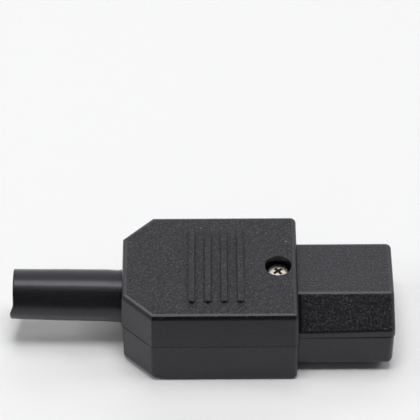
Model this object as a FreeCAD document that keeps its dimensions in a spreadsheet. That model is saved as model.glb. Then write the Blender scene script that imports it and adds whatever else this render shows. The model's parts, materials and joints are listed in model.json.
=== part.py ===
"""A rewireable mains appliance connector of the ten ampere, three pole kind, lying on its flat underside.

The nose at +X goes into an appliance inlet and the cable leaves through the rubber boot at -X. The
housing is two moulded half shells that meet on one flat parting plane, so the nose, the three blade
slots and the cable entry are each made half by the upper shell and half by the lower one. Inside are
three sprung brass contacts with screw terminals, and a saddle that clamps the cable. One machine
screw and a captive nut hold the shells together.

X runs along the connector, Y across it and Z up. The origin is under the middle of the whole length,
on the surface that the connector lies on. Every size is in millimetres and every angle in degrees.
"""

import FreeCAD, Part

import os
import re

import Sketcher

SIZES = {
    "nose_length": (18.65, "nose, from the body's front face to the mating face"),
    "nose_width": (23.6, "nose, across its rim at the parting plane"),
    "nose_above": (7.45, "nose, from the parting plane up to its top"),
    "nose_below": (7.7, "nose, from the parting plane down to its underside"),
    "nose_cut_across": (5.15, "the two cut top corners that stop the plug going in upside down, across"),
    "nose_cut_down": (5.8, "those two corners, down from the top"),
    "nose_narrowing": (0.25, "how much each side of the nose comes in from root to mating face"),
    "nose_wall": (2.3, "side walls of the nose beside its channels"),
    "nose_round": (1.1, "soft edges of the upper half of the nose"),
    "nose_under_round": (1.2, "soft edges of the lower half of the nose"),
    "face_wall": (1.6, "front wall of the nose, which the blade slots go through"),
    "face_lean": (0.3, "how far the mating face leans back from its rim to its top"),
    "face_tuck": (0.15, "how far the mating face leans back from its rim to its underside"),
    "body_length": (34.5, "body, from its tail wall to its front face"),
    "shoulder": (2.15, "how far each side of the body stands out past the nose, at the upper shell's rim"),
    "headroom": (1.4, "room between the cable saddle and the ceiling above it"),
    "body_round": (1.05, "soft edges of the body's upper half"),
    "tail_round": (1.7, "soft lower edges of the tail and its cut corners"),
    "base_round": (0.8, "soft edges of the body's lower half"),
    "tail_cut": (5.9, "the two cut corners at the tail, equal along and across"),
    "mould_draft": (1.5, "slope of the upper shell's sides away from the parting plane, degrees"),
    "lower_draft": (0.6, "slope of the lower shell's sides away from the parting plane, degrees"),
    "parting_height": (9.55, "parting plane above the underside"),
    "rim_step": (0.18, "how far the upper shell's rim stands out past the lower shell's"),
    "rim_bevel": (0.1, "bevel along the outer edge of both rims, which draws the line between the shells"),
    "wall": (1.8, "walls of the body"),
    "fuse_depth": (0.3, "how deep a rib or boss is rooted in the wall that carries it"),
    "pin_pitch": (14.0, "line blade to neutral blade"),
    "earth_rise": (4.0, "earth blade above the other two"),
    "slot_width": (2.5, "blade slots, across"),
    "slot_height": (5.2, "blade slots, up"),
    "blade_reach": (16.0, "how far an inlet's blades come in behind the mating face"),
    "channel_width": (5.0, "channels that hold the contacts in the nose"),
    "rib_count": (4.0, "grip ribs on top"),
    "rib_pitch": (3.15, "grip ribs, centre to centre"),
    "rib_width": (1.4, "each grip rib, along the connector"),
    "rib_reach": (19.9, "each grip rib, across the connector"),
    "rib_rise": (0.45, "height of the grip ribs above the top"),
    "rib_corner": (0.4, "cut corners of each grip rib in plan"),
    "rib_bevel": (0.16, "bevel round the top of each grip rib"),
    "rib_setback": (20.8, "first grip rib behind the body's front face"),
    "screw_setback": (3.95, "housing screw behind the body's front face"),
    "screw_shank": (2.5, "housing screw, shank diameter"),
    "screw_length": (12.4, "housing screw, under its head"),
    "screw_head": (4.1, "housing screw, head diameter"),
    "screw_head_rise": (1.6, "housing screw, head height"),
    "screw_recess": (5.2, "well that the housing screw's head sits in, diameter"),
    "screw_sink": (1.45, "top of the housing screw below the top of the body"),
    "thread_gap": (0.05, "gap all round between a shank and the piece that it screws into"),
    "passing_gap": (0.15, "gap all round between a shank and the piece that it passes through"),
    "tip_gap": (0.4, "room past the tip of a terminal or saddle screw in its blind hole"),
    "post_wall": (1.0, "wall of the post round the housing screw"),
    "nut_width": (5.0, "captive nut, across its flats"),
    "nut_rise": (2.0, "captive nut, thickness"),
    "nut_sink": (2.0, "captive nut above the underside"),
    "nut_gap": (0.1, "gap round the nut in its pocket"),
    "nut_wall": (1.0, "wall and roof of the boss round the nut"),
    "tongue_thick": (0.6, "tongue that lines the two rims up, across"),
    "tongue_rise": (0.8, "tongue above the parting plane"),
    "tongue_setback": (3.6, "tongue, from the body's front face"),
    "tongue_length": (23.0, "tongue, along the connector"),
    "fit_gap": (0.1, "gap round the tongue and round the boot's neck and collar"),
    "contact_sheet": (0.5, "brass sheet of the contacts"),
    "leaf_height": (4.8, "spring leaves of the contacts, up"),
    "leaf_spread": (4.2, "outside width of a contact at its root"),
    "leaf_throat": (1.6, "opening between the leaves where they pinch the blade"),
    "leaf_mouth": (2.8, "opening between the leaves at their flared tips"),
    "mouth_length": (3.25, "flared tips of the leaves, along the connector"),
    "leaf_root": (4.5, "straight root of the leaves, along the connector"),
    "contact_setback": (0.3, "tips of the leaves behind the front wall of the nose"),
    "live_rise": (2.6, "step up from a line or neutral contact to its terminal"),
    "live_screw_setback": (8.75, "line and neutral terminal screws behind the body's front face"),
    "earth_screw_setback": (15.35, "earth terminal screw behind the body's front face"),
    "earth_tail_height": (3.0, "strip that carries the earth past the housing screw's post, up"),
    "earth_side_gap": (0.25, "gap between that strip and the post"),
    "barrier_wall": (0.8, "barrier walls between the earth and the other two poles"),
    "barrier_rise": (1.2, "barrier walls above the parting plane"),
    "terminal_length": (6.0, "terminal plates, along the connector"),
    "terminal_width": (4.8, "terminal plates, across"),
    "clamp_plate": (4.6, "square clamping plates under the terminal screws"),
    "clamp_plate_thick": (0.7, "those plates, thickness"),
    "terminal_shank": (2.5, "terminal screws, shank diameter"),
    "terminal_screw_length": (5.0, "terminal screws, under the head"),
    "terminal_head": (4.4, "terminal screws, head diameter"),
    "terminal_head_rise": (1.5, "terminal screws, head height"),
    "drive_width": (0.6, "arms of the cross recess in every screw, width"),
    "drive_depth": (0.9, "cross recess, depth"),
    "head_bevel": (0.45, "bevel round the top of every screw head"),
    "boot_reach": (22.1, "boot, outside the body, up to the tip of its trimmed end"),
    "boot_root": (10.35, "boot, diameter where it leaves the body"),
    "boot_tail": (9.75, "boot, diameter at its free end"),
    "boot_trim_curve": (21.0, "radius of the round cut that hollows the boot's end"),
    "boot_trim_turn": (45.0, "lean of that cut away from upright, degrees"),
    "boot_trim_shift": (1.0, "offset of that cut from the boot's axis, which leaves a longer lip below"),
    "boot_bore": (7.4, "boot, bore that the cable goes through"),
    "boot_collar_thick": (1.6, "boot, collar thickness"),
    "boot_inner": (1.7, "boot, spigot past its collar, inside the body"),
    "collar_rib": (1.2, "ribs that hold the boot's collar, thickness"),
    "saddle_setback": (9.25, "cable saddle in front of the tail wall"),
    "saddle_length": (5.0, "cable saddle, along the connector"),
    "saddle_thick": (1.6, "cable saddle, thickness"),
    "saddle_side_gap": (1.55, "room between the cable saddle's ends and the side walls"),
    "saddle_end": (2.3, "cable saddle screws, in from the saddle's ends"),
    "saddle_foot": (1.1, "feet of the cable saddle above the parting plane"),
    "saddle_screw_length": (8.0, "cable saddle screws, under the head"),
    "saddle_screw_shank": (2.4, "cable saddle screws, shank diameter"),
    "boss_wall": (1.4, "wall of the bosses for the saddle screws"),
    "cable": (7.0, "cable that the connector takes, diameter"),
}

PLACES = {
    "face_x": "(nose_length + body_length + boot_reach) / 2",
    "root_x": "face_x - nose_length",
    "tail_x": "root_x - body_length",
    "boot_end_x": "tail_x - boot_reach",
    "cavity_front_x": "root_x - wall",
    "cavity_back_x": "tail_x + wall",
    "body_width": "nose_width + 2 * shoulder",
    "cavity_side": "body_width / 2 - wall",
    "saddle_top": "parting_height + cable / 2 + saddle_thick",
    "ceiling": "saddle_top + headroom",
    "body_height": "ceiling + wall",
    "nose_top": "parting_height + nose_above",
    "nose_base": "parting_height - nose_below",
    "channel_end_x": "face_x - face_wall",
    "pin_line": "parting_height - slot_height / 2",
    "earth_line": "pin_line + earth_rise",
    "live_y": "pin_pitch / 2",
    "live_base": "pin_line - leaf_height / 2 - contact_sheet",
    "live_tail": "live_base + live_rise",
    "earth_base": "earth_line - leaf_height / 2",
    "leaf_tip_x": "channel_end_x - contact_setback",
    "throat_x": "leaf_tip_x - mouth_length",
    "leaf_back_x": "face_x - blade_reach - contact_sheet",
    "leaf_root_x": "leaf_back_x + leaf_root",
    "screw_x": "root_x - screw_setback",
    "screw_seat": "body_height - screw_sink - screw_head_rise",
    "screw_hole": "screw_shank / 2 + passing_gap",
    "post": "screw_hole + post_wall",
    "well_post": "screw_recess / 2 + post_wall",
    "nut_roof": "nut_sink + nut_rise",
    "nut_corner": "nut_width / 2 / cos(30)",
    "nut_boss": "nut_corner + nut_gap + nut_wall",
    "live_screw_x": "root_x - live_screw_setback",
    "earth_screw_x": "root_x - earth_screw_setback",
    "strip_side": "post + earth_side_gap",
    "barrier_side": "strip_side + contact_sheet + 0.35",
    "terminal_hole": "terminal_shank / 2 + passing_gap",
    "collar_back_x": "cavity_back_x + fit_gap",
    "collar_front_x": "collar_back_x + boot_collar_thick",
    "rib_back_x": "collar_front_x + fit_gap",
    "collar_side": "ceiling - parting_height - fit_gap",
    "collar_rib_side": "body_width / 2 - tail_cut + wall",
    "boot_hole": "boot_root / 2 + fit_gap",
    "saddle_x": "tail_x + saddle_setback",
    "saddle_side": "cavity_side - saddle_side_gap",
    "saddle_screw_side": "saddle_side - saddle_end",
    "saddle_foot_z": "parting_height + saddle_foot",
    "saddle_boss": "saddle_screw_shank / 2 + boss_wall",
}

BEND = "tan(22.5)"
WORD = re.compile(r"[A-Za-z_]\w*")

doc = FreeCAD.newDocument("appliance_connector")
pieces = []


def in_cells(text):
    """The expression text with each place written out, and each size written as its cell in the sheet."""

    def written_out(match):
        word = match.group(0)
        if word in PLACES:
            return "(" + in_cells(PLACES[word]) + ")"
        if word in SIZES:
            return "Sizes." + word
        return word

    return WORD.sub(written_out, text)


def make_sheet():
    """The sheet of driving sizes, one to a row, each with its own alias."""
    sheet = doc.addObject("Spreadsheet::Sheet", "Sizes")
    for row, (alias, (value, note)) in enumerate(SIZES.items(), start=1):
        sheet.set("A%d" % row, alias)
        sheet.set("B%d" % row, str(value))
        sheet.set("C%d" % row, note)
        sheet.setAlias("B%d" % row, alias)
    doc.recompute()
    return sheet


def value(rule):
    """What an expression of sizes and places comes to, for code that looks for edges there."""
    return float(sheet.evalExpression(in_cells(rule)))


class Piece:
    """One separate solid of the connector, made as a body of sketches and features."""

    def __init__(self, label):
        self.body = doc.addObject("PartDesign::Body", label)
        self.body.Label = label
        pieces.append(self.body)

    def plane(self, role):
        """One of the body's own origin planes."""
        return next(o for o in self.body.Origin.OriginFeatures if o.Role == role)

    def sketch(self, name, role, lift, loops, turn=None):
        """A sketch on an origin plane, lifted along its normal and turned about its X by turn degrees.
        Each loop is a list of (across, up) corners, or a circle as ("circle", across, up, radius)."""
        sketch = self.body.newObject("Sketcher::SketchObject", name)
        sketch.AttachmentSupport = [(self.plane(role), "")]
        sketch.MapMode = "FlatFace"
        sketch.setExpression("AttachmentOffset.Base.z", in_cells(lift))
        if turn:
            about_x = FreeCAD.Rotation(FreeCAD.Vector(1, 0, 0), 1)
            sketch.AttachmentOffset = FreeCAD.Placement(FreeCAD.Vector(), about_x)
            sketch.setExpression("AttachmentOffset.Rotation.Angle", in_cells(turn))
        for loop in loops:
            if loop[0] == "circle":
                self.draw_circle(sketch, *loop[1:])
            else:
                self.draw_corners(sketch, loop)
        return sketch

    def pin(self, sketch, kind, start, rule):
        """Adds one driven dimension. start is its geometry and first value, rule its expression."""
        index = sketch.addConstraint(Sketcher.Constraint(kind, *start))
        name = "size_%d" % index
        sketch.renameConstraint(index, name)
        sketch.setExpression("Constraints." + name, in_cells(rule))

    def place(self, sketch, line, end, here, across, up):
        """Ties one end or centre of a sketch line to its two distances from the sketch's origin."""
        self.pin(sketch, "DistanceX", (-1, 1, line, end, here.x), across)
        self.pin(sketch, "DistanceY", (-1, 1, line, end, here.y), up)

    def draw_corners(self, sketch, corners):
        """A closed loop of lines. They start on a circle and the dimensions pull them into place."""
        turn = FreeCAD.Rotation(FreeCAD.Vector(0, 0, 1), 360.0 / len(corners))
        spots = [FreeCAD.Vector(10, 0, 0)]
        for _ in corners[1:]:
            spots.append(turn.multVec(spots[-1]))
        first = sketch.GeometryCount
        for k, spot in enumerate(spots):
            sketch.addGeometry(Part.LineSegment(spot, spots[(k + 1) % len(spots)]), False)
        for k in range(len(corners)):
            after = first + (k + 1) % len(corners)
            sketch.addConstraint(Sketcher.Constraint("Coincident", first + k, 2, after, 1))
        for k, (across, up) in enumerate(corners):
            self.place(sketch, first + k, 1, spots[k], across, up)

    def draw_circle(self, sketch, across, up, radius):
        """A full circle."""
        centre = FreeCAD.Vector(1, 1, 0)
        line = sketch.addGeometry(Part.Circle(centre, FreeCAD.Vector(0, 0, 1), 2.0), False)
        self.place(sketch, line, 3, centre, across, up)
        self.pin(sketch, "Radius", (line, 2.0), radius)

    def feature(self, kind, name, sketch, length, backwards=False, middle=False):
        """A pad or a pocket of a sketch. backwards runs it against the sketch's normal."""
        made = self.body.newObject(kind, name)
        made.Profile = sketch
        made.setExpression("Length", in_cells(length))
        made.Reversed = backwards
        made.Midplane = middle
        sketch.Visibility = False
        return made

    def pad(self, name, role, lift, loops, length, turn=None, **how):
        """Adds material: a sketch of the loops, drawn out by length along its plane's normal."""
        sketch = self.sketch(name + "Sketch", role, lift, loops, turn)
        return self.feature("PartDesign::Pad", name, sketch, length, **how)

    def pocket(self, name, role, lift, loops, length, turn=None, **how):
        """Cuts material. Like a pad it runs along the normal, unless backwards is given."""
        how["backwards"] = not how.get("backwards", False)
        sketch = self.sketch(name + "Sketch", role, lift, loops, turn)
        return self.feature("PartDesign::Pocket", name, sketch, length, **how)

    def dress(self, kind, name, wanted, field, rule):
        """A fillet or chamfer of the piece's edges so far for which wanted(edge) is true."""
        doc.recompute()
        base = self.body.Tip
        chosen = ["Edge%d" % n for n, edge in enumerate(base.Shape.Edges, start=1) if wanted(edge)]
        if not chosen:
            raise RuntimeError("%s finds no edge to take" % name)
        made = self.body.newObject(kind, name)
        made.Base = (base, chosen)
        made.setExpression(field, in_cells(rule))
        base.Visibility = False
        return made

    def fillet(self, name, radius, wanted):
        """Rounds the chosen edges."""
        return self.dress("PartDesign::Fillet", name, wanted, "Radius", radius)

    def bevel(self, name, width, wanted):
        """Bevels the chosen edges at forty-five degrees."""
        return self.dress("PartDesign::Chamfer", name, wanted, "Size", width)

    def height(self):
        """Lowest and highest Z of the piece so far."""
        doc.recompute()
        box = self.body.Tip.Shape.BoundBox
        return box.ZMin, box.ZMax


def rectangle(left, low, right, high):
    """A loop of four corners."""
    return [(left, low), (right, low), (right, high), (left, high)]


def cut_rectangle(across, up, half_width, half_height, corner):
    """A loop of eight corners: a rectangle about (across, up) with its own corners cut off."""
    loop = []
    inner_width = "(%s - %s)" % (half_width, corner)
    inner_height = "(%s - %s)" % (half_height, corner)
    for x_sign, y_sign in (("+", "-"), ("+", "+"), ("-", "+"), ("-", "-")):
        inner = ("%s %s %s" % (across, x_sign, inner_width), "%s %s %s" % (up, y_sign, half_height))
        outer = ("%s %s %s" % (across, x_sign, half_width), "%s %s %s" % (up, y_sign, inner_height))
        loop += [inner, outer] if x_sign != y_sign else [outer, inner]
    return loop


def direction(edge):
    """Unit vector from one end of an edge to the other."""
    step = edge.Vertexes[-1].Point - edge.Vertexes[0].Point
    return step.normalize() if step.Length > 1e-6 else step


def at_height(shape, level):
    """True for an edge or face that lies in one level plane."""
    box = shape.BoundBox
    return abs(box.ZMin - level) < 1e-4 and abs(box.ZMax - level) < 1e-4


def is_upright(edge):
    """True for a straight edge that runs up, give or take the mould's draft."""
    return edge.Curve.TypeId == "Part::GeomLine" and abs(direction(edge).z) > 0.99


def outline(inset, corner):
    """The body's plan with its cut tail corners, inset all round. corner shifts each cut with the inset."""
    side = "(body_width / 2 - %s)" % inset
    back = "tail_x + %s" % inset
    front = "root_x - %s" % inset
    cut = "tail_cut + %s * %s" % (corner, BEND)
    return [
        (front, "-" + side),
        (front, side),
        ("tail_x + " + cut, side),
        (back, "body_width / 2 - (%s)" % cut),
        (back, "(%s) - body_width / 2" % cut),
        ("tail_x + " + cut, "-" + side),
    ]


def draft_block(shell, slope, upwards):
    """Leans the block's walls inwards, away from the parting plane, as the mould needs."""
    doc.recompute()
    block = shell.body.Tip
    parting = value("parting_height")
    walls = []
    rim = None
    for n, face in enumerate(block.Shape.Faces, start=1):
        if at_height(face, parting):
            rim = "Face%d" % n
        elif face.BoundBox.ZLength > 1:
            walls.append("Face%d" % n)
    draft = shell.body.newObject("PartDesign::Draft", "Draft")
    draft.Base = (block, walls)
    draft.NeutralPlane = (block, [rim])
    draft.setExpression("Angle", in_cells(slope))
    draft.Reversed = not upwards
    block.Visibility = False


def round_block(shell, level, radius):
    """Softens the body's edges at the given level and its two upright corners at the front."""
    front = value("root_x - wall")

    def is_soft_edge(edge):
        return at_height(edge, level) or (is_upright(edge) and edge.BoundBox.XMin > front)

    shell.fillet("BodyRounds", radius, is_soft_edge)


def add_nose(shell, profile, lean, rounds):
    """The nose's half profile drawn out of the body, narrowed and leant back as moulded, then softened."""
    shell.pad("Nose", "YZ_Plane", "cavity_front_x", [profile], "face_x - cavity_front_x")
    half = "nose_width / 2"
    wedges = []
    for sign in ("", "-"):
        wedges.append(
            [
                ("root_x", sign + half),
                ("face_x + 1", "%s(%s - nose_narrowing - nose_narrowing / nose_length)" % (sign, half)),
                ("face_x + 1", "%s(%s + 1)" % (sign, half)),
            ]
        )
    shell.pocket("NoseSides", "XY_Plane", "0", wedges, "2 * body_height", middle=True)
    shell.pocket("NoseFace", "XZ_Plane", "0", [lean], "2 * body_width", middle=True)
    doc.recompute()
    face = shell.body.Tip.Shape.BoundBox.XMax - value("max(face_lean; face_tuck)")
    parting = value("parting_height")

    def is_nose_edge(edge):
        box = edge.BoundBox
        if at_height(edge, parting):
            return False
        on_face = box.XMin > face - 0.5
        along = box.XMax > face - 1 and abs(direction(edge).x) > 0.99
        return on_face or along

    shell.fillet("NoseRounds", rounds, is_nose_edge)
    shell.bevel("RimBevel", "rim_bevel", lambda edge: at_height(edge, parting))


def make_upper_shell():
    """The upper half: top, grip ribs, screw well, and the chamfered half of the nose."""
    shell = Piece("upper_shell")
    shell.pad("Block", "XY_Plane", "parting_height", [outline("0", "0")], "body_height - parting_height")
    draft_block(shell, "mould_draft", upwards=True)
    top = shell.height()[1]
    round_block(shell, top, "body_round")
    slope = "(nose_top - nose_cut_down - parting_height) * tan(mould_draft)"
    profile = [
        ("-nose_width / 2", "parting_height"),
        ("nose_width / 2", "parting_height"),
        ("nose_width / 2 - " + slope, "nose_top - nose_cut_down"),
        ("nose_width / 2 - nose_cut_across", "nose_top"),
        ("-(nose_width / 2 - nose_cut_across)", "nose_top"),
        ("-(nose_width / 2 - %s)" % slope, "nose_top - nose_cut_down"),
    ]
    lean = [
        ("face_x", "parting_height"),
        ("face_x - face_lean", "nose_top"),
        ("face_x - face_lean", "nose_top + 1"),
        ("face_x + 1", "nose_top + 1"),
        ("face_x + 1", "parting_height"),
    ]
    add_nose(shell, profile, lean, "nose_round")

    # Grip ribs
    rib_x = "root_x - rib_setback"
    plan = cut_rectangle(rib_x, "0", "rib_width / 2", "rib_reach / 2", "rib_corner")
    rib = shell.pad("GripRib", "XY_Plane", "body_height - fuse_depth", [plan], "fuse_depth + rib_rise")
    doc.recompute()
    ribs = shell.body.newObject("PartDesign::LinearPattern", "GripRibs")
    ribs.Originals = [rib]
    ribs.Direction = (next(o for o in shell.body.Origin.OriginFeatures if o.Role == "X_Axis"), [""])
    ribs.setExpression("Length", in_cells("(rib_count - 1) * rib_pitch"))
    ribs.setExpression("Occurrences", in_cells("rib_count"))
    shell.body.Tip = ribs
    rib_top = value("body_height + rib_rise")
    shell.bevel("RibBevels", "rib_bevel", lambda edge: at_height(edge, rib_top))

    # Inside of the body and of the nose
    inside = [outline("wall", "wall")]
    shell.pocket("Cavity", "XY_Plane", "parting_height", inside, "ceiling - parting_height")
    half = "channel_width / 2"
    shell.pocket(
        "EarthChannel",
        "XY_Plane",
        "parting_height",
        [rectangle("cavity_front_x - fuse_depth", "-" + half, "channel_end_x", half)],
        "earth_line + leaf_height / 2 + 0.2 - parting_height",
    )
    strip = "(strip_side + contact_sheet + 0.3)"
    shell.pocket(
        "StripChannel",
        "XY_Plane",
        "parting_height",
        [rectangle("cavity_front_x - fuse_depth", "-" + strip, "leaf_back_x + 0.5", strip)],
        "earth_line + leaf_height / 2 + 0.2 - parting_height",
    )
    channel = "(channel_end_x - leaf_back_x)"
    reliefs = [
        rectangle("leaf_back_x + 0.1 * " + channel, "-" + half, "leaf_back_x + 0.46 * " + channel, half),
        rectangle("leaf_back_x + 0.54 * " + channel, "-" + half, "leaf_back_x + 0.9 * " + channel, half),
    ]
    shell.pocket("Reliefs", "XY_Plane", "parting_height", reliefs, "nose_top - face_wall - parting_height")
    cores = []
    for sign in ("", "-"):
        cores.append(
            rectangle(
                "cavity_front_x - fuse_depth",
                "%s(live_y - %s)" % (sign, half),
                "channel_end_x",
                "%s(live_y + %s)" % (sign, half),
            )
        )
    core_roof = "nose_top - nose_cut_down - parting_height - fuse_depth"
    shell.pocket("SideCores", "XY_Plane", "parting_height", cores, core_roof)

    # Post and well for the housing screw
    shell.pad(
        "Post",
        "XY_Plane",
        "parting_height",
        [("circle", "screw_x", "0", "post")],
        "ceiling + fuse_depth - parting_height",
    )
    shell.pad(
        "WellPost",
        "XY_Plane",
        "screw_seat - post_wall",
        [("circle", "screw_x", "0", "well_post")],
        "ceiling + fuse_depth - screw_seat + post_wall",
    )
    shell.pocket(
        "Well",
        "XY_Plane",
        "body_height + 1",
        [("circle", "screw_x", "0", "screw_recess / 2")],
        "body_height + 1 - screw_seat",
        backwards=True,
    )
    shell.pocket(
        "ScrewHole",
        "XY_Plane",
        "screw_seat + fuse_depth",
        [("circle", "screw_x", "0", "screw_hole")],
        "body_height",
        backwards=True,
    )

    # Ribs that hold the boot's collar, and fingers that hold the line and neutral contacts down
    collar = [rectangle("-collar_rib_side", "parting_height", "collar_rib_side", "ceiling + fuse_depth")]
    shell.pad("CollarRib", "YZ_Plane", "rib_back_x", collar, "collar_rib")
    fingers = []
    finger_x = "live_screw_x + terminal_length / 2 + 0.5"
    for sign in ("", "-"):
        fingers.append(
            rectangle(
                finger_x,
                "%s(live_y - leaf_spread / 2)" % sign,
                finger_x + " + 1.2",
                "%s(live_y + leaf_spread / 2)" % sign,
            )
        )
    finger_foot = "live_tail + contact_sheet + fit_gap"
    shell.pad("Fingers", "XY_Plane", finger_foot, fingers, "ceiling + fuse_depth - (%s)" % finger_foot)

    # Cable entry, earth slot and the groove for the tongue
    shell.pocket(
        "BootHole",
        "YZ_Plane",
        "tail_x - 1",
        [("circle", "0", "parting_height", "boot_hole")],
        "rib_back_x + collar_rib + 1 - (tail_x - 1)",
    )
    earth_top = "earth_line + slot_height / 2"
    slot = [rectangle("-slot_width / 2", "parting_height - 1", "slot_width / 2", earth_top)]
    shell.pocket("EarthSlot", "YZ_Plane", "channel_end_x - fuse_depth", slot, "face_wall + 1")
    grooves = []
    for sign in ("", "-"):
        grooves.append(
            rectangle(
                "root_x - tongue_setback - tongue_length - fit_gap",
                "%s(cavity_side - fuse_depth)" % sign,
                "root_x - tongue_setback + fit_gap",
                "%s(cavity_side + tongue_thick + fit_gap)" % sign,
            )
        )
    shell.pocket("TongueGrooves", "XY_Plane", "parting_height", grooves, "tongue_rise + fit_gap")


def make_lower_shell():
    """The lower half: floor, nut pocket, contact channels, barriers and the bosses for the cable saddle."""
    shell = Piece("lower_shell")
    rim = [outline("rim_step", "0")]
    shell.pad("Block", "XY_Plane", "parting_height", rim, "parting_height", backwards=True)
    draft_block(shell, "lower_draft", upwards=False)
    low = shell.height()[0]
    cut_end = value("tail_x + tail_cut + rim_step")

    def is_tail_edge(edge):
        return at_height(edge, low) and edge.BoundBox.XMax < cut_end

    shell.fillet("TailRounds", "tail_round", is_tail_edge)
    round_block(shell, low, "base_round")
    half_rim = "(nose_width / 2 - rim_step)"
    slope = "(parting_height - nose_base) * tan(lower_draft)"
    profile = [
        ("-(%s - %s)" % (half_rim, slope), "nose_base"),
        ("%s - %s" % (half_rim, slope), "nose_base"),
        (half_rim, "parting_height"),
        ("-" + half_rim, "parting_height"),
    ]
    lean = [
        ("face_x - rim_step", "parting_height + 1"),
        ("face_x - rim_step", "parting_height"),
        ("face_x - rim_step - face_tuck", "nose_base"),
        ("face_x - rim_step - face_tuck", "nose_base - 1"),
        ("face_x + 1", "nose_base - 1"),
        ("face_x + 1", "parting_height + 1"),
    ]
    add_nose(shell, profile, lean, "nose_under_round")

    # Inside of the body, and the three channels in the nose
    inside = [outline("wall", "wall")]
    shell.pocket("Cavity", "XY_Plane", "parting_height", inside, "parting_height - wall", backwards=True)
    half = "channel_width / 2"
    channels = []
    for sign in ("", "-"):
        channels.append(
            rectangle(
                "cavity_front_x - fuse_depth",
                "%s(live_y - %s)" % (sign, half),
                "channel_end_x",
                "%s(live_y + %s)" % (sign, half),
            )
        )
    live_depth = "parting_height - live_base"
    shell.pocket("LiveChannels", "XY_Plane", "parting_height", channels, live_depth, backwards=True)
    strip = "(strip_side + contact_sheet + 0.3)"
    middle = [
        ("cavity_front_x - fuse_depth", "-" + strip),
        ("leaf_back_x + 0.5", "-" + strip),
        ("leaf_back_x + 0.5", "-" + half),
        ("channel_end_x", "-" + half),
        ("channel_end_x", half),
        ("leaf_back_x + 0.5", half),
        ("leaf_back_x + 0.5", strip),
        ("cavity_front_x - fuse_depth", strip),
    ]
    earth_depth = "parting_height - earth_base"
    shell.pocket("EarthChannel", "XY_Plane", "parting_height", [middle], earth_depth, backwards=True)
    channel = "(channel_end_x - leaf_back_x)"
    wells = []
    for start, stop in (("0.08", "0.34"), ("0.4", "0.63"), ("0.69", "0.94")):
        well_back = "leaf_back_x + %s * %s" % (start, channel)
        well_front = "leaf_back_x + %s * %s" % (stop, channel)
        wells.append(rectangle(well_back, "-" + half, well_front, half))
    well_depth = "parting_height - nose_base - nose_wall"
    shell.pocket("EarthWells", "XY_Plane", "parting_height", wells, well_depth, backwards=True)

    # Boss for the captive nut, with the screw's post on it
    floor = "wall - fuse_depth"
    boss = [("circle", "screw_x", "0", "nut_boss")]
    shell.pad("NutBoss", "XY_Plane", floor, boss, "nut_roof + nut_wall - (%s)" % floor)
    post = [("circle", "screw_x", "0", "post")]
    shell.pad("Post", "XY_Plane", floor, post, "parting_height - (%s)" % floor)

    # Barrier walls, with a block under each terminal
    barriers = []
    for sign in ("", "-"):
        barriers.append(
            rectangle(
                "earth_screw_x - terminal_length / 2",
                "%sbarrier_side" % sign,
                "cavity_front_x + fuse_depth",
                "%s(barrier_side + barrier_wall)" % sign,
            )
        )
    shell.pad("Barriers", "XY_Plane", floor, barriers, "parting_height - (%s)" % floor)
    high_barriers = []
    for sign in ("", "-"):
        high_barriers.append(
            rectangle(
                "earth_screw_x - terminal_length / 2",
                "%sbarrier_side" % sign,
                "cavity_front_x - fit_gap",
                "%s(barrier_side + barrier_wall)" % sign,
            )
        )
    shell.pad(
        "BarrierTops", "XY_Plane", "parting_height - fuse_depth", high_barriers, "fuse_depth + barrier_rise"
    )
    block_half = "(terminal_length / 2 - 0.3)"
    side_half = "(terminal_width / 2 - 0.2)"
    blocks = []
    for sign in ("", "-"):
        blocks.append(
            rectangle(
                "live_screw_x - " + block_half,
                "%s(live_y - %s)" % (sign, side_half),
                "live_screw_x + " + block_half,
                "%s(live_y + %s)" % (sign, side_half),
            )
        )
    shell.pad("LiveBlocks", "XY_Plane", floor, blocks, "live_tail - (%s)" % floor)
    earth_block = rectangle(
        "earth_screw_x - " + block_half, "-" + side_half, "earth_screw_x + " + block_half, side_half
    )
    shell.pad("EarthBlock", "XY_Plane", floor, [earth_block], "earth_base - (%s)" % floor)

    # Bosses and lower saddle for the cable, and the rib that holds the boot's collar
    bosses = [
        ("circle", "saddle_x", "saddle_screw_side", "saddle_boss"),
        ("circle", "saddle_x", "-saddle_screw_side", "saddle_boss"),
    ]
    shell.pad("SaddleBosses", "XY_Plane", floor, bosses, "saddle_foot_z - (%s)" % floor)
    rest_half = "saddle_screw_side"
    rest = [rectangle("-" + rest_half, floor, rest_half, "parting_height - 1")]
    shell.pad("CableRest", "YZ_Plane", "saddle_x - saddle_length / 4", rest, "saddle_length / 2")
    collar = [rectangle("-collar_rib_side", floor, "collar_rib_side", "parting_height")]
    shell.pad("CollarRib", "YZ_Plane", "rib_back_x", collar, "collar_rib")

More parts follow.
